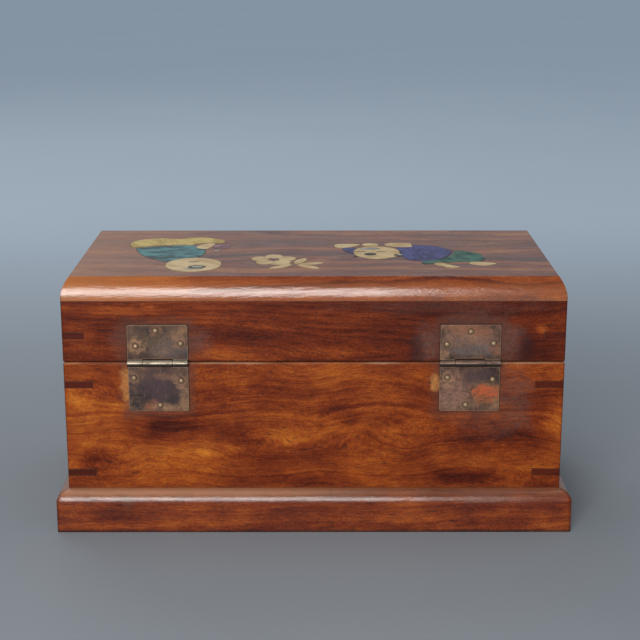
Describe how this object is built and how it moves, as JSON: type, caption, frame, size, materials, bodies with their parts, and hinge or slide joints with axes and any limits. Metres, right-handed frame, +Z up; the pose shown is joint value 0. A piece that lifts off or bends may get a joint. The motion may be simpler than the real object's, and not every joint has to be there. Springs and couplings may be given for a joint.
{
  "type": "inlaid wooden box",
  "caption": "Hardwood keepsake box with mitred boards, dark corner keys, moulded plinth and an inlaid lid on surface-mounted brass butt hinges.",
  "frame": {"origin": "under the middle of the plinth, on the surface that the box stands on", "axes": "+Z up, +X along the box's length, -Y towards the hinge side (back), +Y towards the side that opens (front)"},
  "size_m": [0.25, 0.127, 0.1259],
  "materials": {
    "plinth_wood": "satin, polished rosewood-type hardwood",
    "body_wood": "satin, polished rosewood-type hardwood",
    "lid_wood": "satin, polished rosewood-type hardwood",
    "lid_panel_wood": "satin, polished rosewood-type hardwood",
    "inner_wood": "plain, unpolished hardwood",
    "key_wood": "satin, dark hardwood",
    "hinge_brass": "aged, darkened brass",
    "hinge_pin_brass": "worn brass",
    "nail_brass": "worn brass",
    "bone": "polished bone",
    "dyed_yellow": "polished, dyed bone or horn",
    "dyed_teal": "polished, dyed bone or stone",
    "dyed_violet": "polished, dyed bone or stone",
    "dyed_green": "polished, dyed bone or stone",
    "dyed_purple": "polished, dyed bone or stone",
    "dyed_grey": "polished, dyed bone or stone"
  },
  "bodies": {
    "case": {"body_back_board": "body_wood", "body_front_board": "body_wood", "body_keys_back_left": "key_wood", "body_keys_back_right": "key_wood", "body_keys_front_left": "key_wood", "body_keys_front_right": "key_wood", "body_left_board": "body_wood", "body_right_board": "body_wood", "bottom_panel": "inner_wood", "hinge_body_leaf_left": "hinge_brass", "hinge_body_leaf_right": "hinge_brass", "hinge_body_nails_left": "nail_brass", "hinge_body_nails_right": "nail_brass", "hinge_pin_left": "hinge_pin_brass", "hinge_pin_right": "hinge_pin_brass", "plinth_back_rail": "plinth_wood", "plinth_front_rail": "plinth_wood", "plinth_left_rail": "plinth_wood", "plinth_right_rail": "plinth_wood"},
    "lid": {"hinge_lid_leaf_left": "hinge_brass", "hinge_lid_leaf_right": "hinge_brass", "hinge_lid_nails_left": "nail_brass", "hinge_lid_nails_right": "nail_brass", "inlay_blossom_eye": "dyed_purple", "inlay_blossom_leaves": "bone", "inlay_blossom_petals": "bone", "inlay_flower": "dyed_purple", "inlay_flower_leaf": "dyed_grey", "inlay_lying_feet": "bone", "inlay_lying_hands": "bone", "inlay_lying_head": "bone", "inlay_lying_jacket": "dyed_violet", "inlay_lying_sleeve": "dyed_violet", "inlay_lying_trousers": "dyed_green", "inlay_seated_hand": "bone", "inlay_seated_head": "bone", "inlay_seated_jacket": "dyed_teal", "inlay_seated_trousers": "dyed_yellow", "lid_back_board": "lid_wood", "lid_front_board": "lid_wood", "lid_key_back_left": "key_wood", "lid_key_back_right": "key_wood", "lid_key_front_left": "key_wood", "lid_key_front_right": "key_wood", "lid_left_board": "lid_wood", "lid_right_board": "lid_wood", "lid_top_panel": "lid_panel_wood"}
  },
  "joints": [
    {"name": "lid_hinge", "type": "hinge", "parent": "case", "child": "lid", "pos_m": [0, -0.05975, 0.08465], "axis": [1, 0, 0], "range_deg": [0, 170]}
  ]
}
